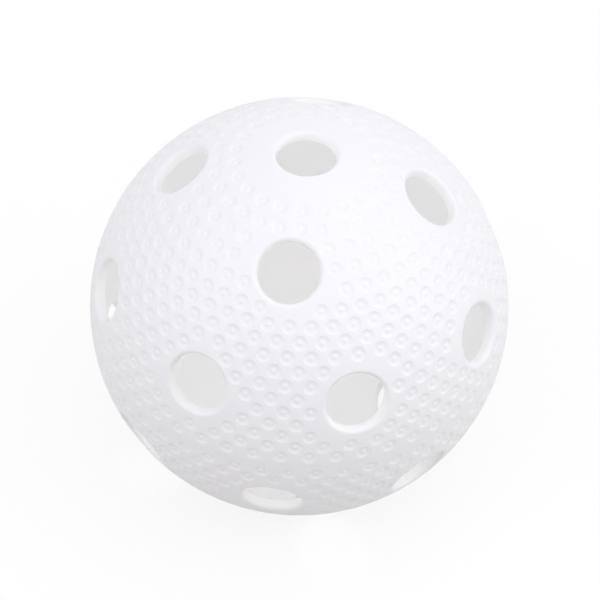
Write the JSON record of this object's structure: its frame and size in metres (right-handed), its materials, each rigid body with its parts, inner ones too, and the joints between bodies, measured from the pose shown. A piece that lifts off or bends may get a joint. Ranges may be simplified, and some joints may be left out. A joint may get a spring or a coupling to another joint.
{
  "type": "floorball ball",
  "caption": "Hollow perforated floorball ball, moulded half shells welded at the equator, with round holes for low air drag.",
  "frame": {"origin": "centre of the ball, on the weld plane", "axes": "+Z through the two pole holes, towards the upper half; +X and +Y through the azimuth of the upper half's ring of four holes"},
  "size_m": [0.072, 0.072, 0.071],
  "materials": {
    "white_plastic": "satin"
  },
  "bodies": {
    "root": {"upper_half_shell": "white_plastic", "lower_half_shell": "white_plastic"}
  },
  "joints": []
}
